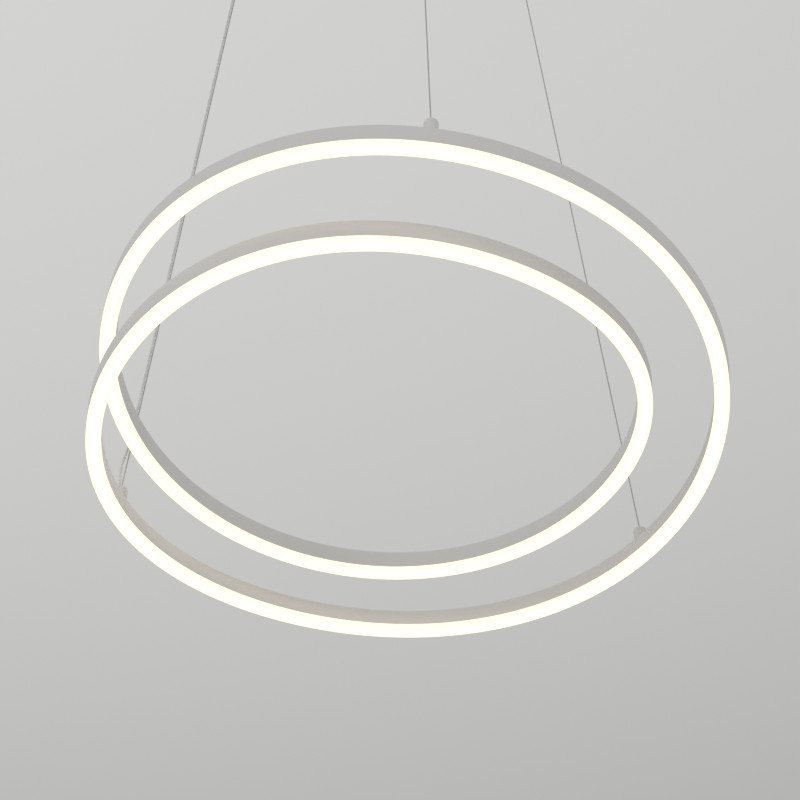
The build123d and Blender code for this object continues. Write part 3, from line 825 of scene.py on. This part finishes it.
for half in range(loopShape["halfTurns"]):
    first = loopShape["firstSeam"] + 180 * half
    stops = [first + 180 * k / loopShape["stations"] for k in range(loopShape["stations"] + 1)]
    path = polyCurve(f"halfTurn{half + 1}", [loopPoint(t) for t in stops], tilts=[loopTilt(t) for t in stops])
    for label, finish, slotName, replaced in (
        ("band", "bandCoat", "satin_aluminium", "profile"), ("lens", "opalGlow", "opal", "diffuser"),
    ):
        mesh = runTree(f"{label}{half + 1}", loopSweep, {
            "Path": path, "Section": sections[label], "Corner Steps": sweepSettings["cornerSteps"],
            "Half Width": loopShape["halfWidth"] * mm, "Finish": paints[finish],
        })
        outwardFaces(mesh)
        if label == "band":
            mesh = cutHoles(mesh, screwSpots(first))
        setPiece(f"{label}_{half + 1}", mesh, finish, "light_ring", [f"{replaced}_{half + 1}"])
    bpy.data.objects.remove(path)
for holder in sections.values():
    bpy.data.objects.remove(holder)
print("band and lens swept")

# hanger caps: round, flat on top with a soft rim
capShape = {
    "radius": 6.6, "height": 16.0, "rim": 1.5, "rimSteps": 8, "foot": 0.4, "roof": 3.0, "pocket": 2.2,
    "hole": 1.6, "holeRim": 0.4, "cableHole": 1.3, "cutPast": 1.0, "steps": 64,
}


def capOutline():
    c = capShape
    return (
        [(c["pocket"], 0), (c["radius"] - c["foot"], 0), (c["radius"], c["foot"])]
        + roundCorner((c["radius"] - c["rim"], c["height"] - c["rim"]), c["rim"], 0, 90, c["rimSteps"])
        + roundCorner((c["hole"] + c["holeRim"], c["height"] - c["holeRim"]), c["holeRim"], 90, 180)
        + [(c["hole"], c["height"] - c["roof"]), (c["pocket"], c["height"] - c["roof"])]
    )


for number, seat in enumerate(seats):
    c, name = capShape, f"hangerCap_{number + 1}"
    mesh = turnedMesh(f"hangerCap{number + 1}", capOutline(), seat, c["steps"])
    if number == cableSide:
        mesh = cutHoles(mesh, [(cableHole, zUp, c["cableHole"], -c["cutPast"], c["height"] + c["cutPast"])])
    setPiece(name, mesh, "bandCoat", "light_ring", [f"hanger_cap_{number + 1}"])
print("hanger caps turned")

# canopy: a spun cup with a rounded rim
canopyShape = {
    "radius": 190.0, "floor": -30.0, "wall": 1.5, "corner": 6.0, "rim": -0.5,
    "outerSteps": 10, "innerSteps": 8, "steps": 192,
}


def canopyOutline():
    c = canopyShape
    half = c["wall"] / 2
    inside, bend = c["radius"] - c["corner"], c["floor"] + c["corner"]
    return (
        [(0, c["floor"])] + roundCorner((inside, bend), c["corner"], -90, 0, c["outerSteps"])
        + roundCorner((c["radius"] - half, c["rim"] - half), half, 0, 180, c["innerSteps"])
        + roundCorner((inside, bend), c["corner"] - c["wall"], 0, -90, c["innerSteps"])
        + [(0, c["floor"] + c["wall"])]
    )


mesh = turnedMesh("canopyCup", canopyOutline(), (0, 0, 0), canopyShape["steps"])
setPiece("canopyCup", mesh, "bandCoat", "ceiling_rose", ["canopy_cover"])

# wire grips: threaded body with a gripping ring, and the sprung nose in it
gripShape = {
    "thread": 5.0, "threadTop": 12.0, "threadLow": 0.5, "threadDepth": 0.35, "threadEnd": 0.5, "pitch": 1.0,
    "flange": 9.0, "flangeLow": -3.0, "flangeSoft": 0.6, "flangeRim": 0.3, "barrel": 6.5, "low": -18.0,
    "soft": 0.8, "lip": 2.0, "mouth": 3.1, "chamber": 4.0, "roof": -1.0, "bore": 1.2, "steps": 64,
    "ringLow": -15.0, "ringLength": 7.0, "ribs": 36, "rib": 0.32, "ribSides": 6,
}
noseShape = {
    "low": -24.0, "radius": 2.8, "soft": 0.6, "shoulder": 3.7, "shoulderLow": -15.7, "top": -10.0,
    "mouth": 1.6, "mouthSoft": 0.3, "steps": 48,
}


def gripOutline():
    g = gripShape
    turns = int(g["threadTop"] / g["pitch"]) - 1
    thread = []
    for k in range(turns):
        thread.append((g["thread"], g["threadLow"] + g["pitch"] * k))
        thread.append((g["thread"] - g["threadDepth"], g["threadLow"] + g["pitch"] * (k + 0.5)))
    low, soft, edge, rim = g["low"], g["soft"], g["flangeSoft"], g["flangeRim"]
    return (
        [(g["mouth"], low)] + roundCorner((g["barrel"] - soft, low + soft), soft, -90, 0)
        + [(g["barrel"], g["flangeLow"])]
        + roundCorner((g["flange"] - edge, g["flangeLow"] + edge), edge, -90, 0)
        + roundCorner((g["flange"] - rim, -rim), rim, 0, 90)
        + [(g["thread"], 0)] + thread
        + [(g["thread"] - g["threadEnd"], g["threadTop"]), (g["bore"], g["threadTop"])]
        + [(g["bore"], g["roof"]), (g["chamber"], g["roof"])]
        + [(g["chamber"], low + g["lip"]), (g["mouth"], low + g["lip"])]
    )


def noseOutline():
    n = noseShape
    low, soft, inner = n["low"], n["soft"], n["mouthSoft"]
    return (
        roundCorner((n["mouth"] + inner, low + inner), inner, 180, 270)
        + roundCorner((n["radius"] - soft, low + soft), soft, -90, 0)
        + [(n["radius"], n["shoulderLow"]), (n["shoulder"], n["shoulderLow"])]
        + [(n["shoulder"], n["top"]), (n["mouth"], n["top"])]
    )


def buildRodRing():
    tree = bpy.data.node_groups.new("rodRing", "GeometryNodeTree")
    given, result = socketsOf(
        tree,
        [("Count", "NodeSocketInt", 36), ("Ring Radius", "NodeSocketFloat", 0.0065),
         ("Rod Radius", "NodeSocketFloat", 0.0003), ("Rod Length", "NodeSocketFloat", 0.007),
         ("Rod Sides", "NodeSocketInt", 6), ("Finish", "NodeSocketMaterial", None)],
        [("Geometry", "NodeSocketGeometry")],
    )
    ring = node(tree, "GeometryNodeMeshCircle")
    link(tree, given.outputs["Count"], ring.inputs["Vertices"])
    link(tree, given.outputs["Ring Radius"], ring.inputs["Radius"])
    rod = node(tree, "GeometryNodeMeshCylinder")
    link(tree, given.outputs["Rod Sides"], rod.inputs["Vertices"])
    link(tree, given.outputs["Rod Radius"], rod.inputs["Radius"])
    link(tree, given.outputs["Rod Length"], rod.inputs["Depth"])
    placed = node(tree, "GeometryNodeInstanceOnPoints")
    link(tree, ring.outputs[0], placed.inputs["Points"])
    link(tree, rod.outputs[0], placed.inputs["Instance"])
    finishTree(tree, placed.outputs[0], given, result)
    return tree


def fitGrip(number, under):
    # under: where the grip meets the canopy's underside
    g = gripShape
    plate, brass, rose = "nickelPlate", "nickel_brass", "ceiling_rose"
    mesh = turnedMesh(f"gripBody_{number}", gripOutline(), under, g["steps"])
    setPiece(f"gripBody_{number}", mesh, plate, rose, [f"grip_body_{number}"])
    mesh = runTree(f"gripRibs_{number}", rodRing, {
        "Count": g["ribs"], "Ring Radius": g["barrel"] * mm, "Rod Radius": g["rib"] * mm,
        "Rod Length": g["ringLength"] * mm, "Rod Sides": g["ribSides"], "Finish": paints[plate],
    })
    mesh.transform(Matrix.Translation((under + zUp * (g["ringLow"] + g["ringLength"] / 2)) * mm))
    setPiece(f"gripRibs_{number}", mesh, plate, rose)
    mesh = turnedMesh(f"gripNose_{number}", noseOutline(), under, noseShape["steps"])
    setPiece(f"gripNose_{number}", mesh, plate, f"plunger_{number}", [f"grip_plunger_{number}"])


rodRing = buildRodRing()
for number, grip in enumerate(grips):
    fitGrip(number + 1, grip + zUp * canopyShape["floor"])
print("canopy and grips turned")

# CAD nodes that stay get their finish here
nodeFinishes = {
    "joiner_": "millAluminium", "joiner_screws": "zincPlate", "hanger_screw_": "zincPlate",
    "wire_ball_": "ropeSteel", "wire_tails": "ropeSteel", "led_strip_": "boardMask",
    "led_chips_": "chipPhosphor", "ceiling_bracket": "zincPlate", "canopy_": "bandCoat",
    "led_driver": "caseMoulding", "fixing_screws": "zincPlate", "terminal_block": "blockNylon",
    "terminal_screws": "zincPlate", "cable_gland": "glandNylon", "gland_nut": "glandNylon",
    "grip_nut_": "nickelPlate",
}
for name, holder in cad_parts.items():
    found = [key for key in nodeFinishes if name.startswith(key)]
    if found:
        holder.data.materials.clear()
        holder.data.materials.append(paints[nodeFinishes[max(found, key=len)]])

bpy.context.view_layer.update()
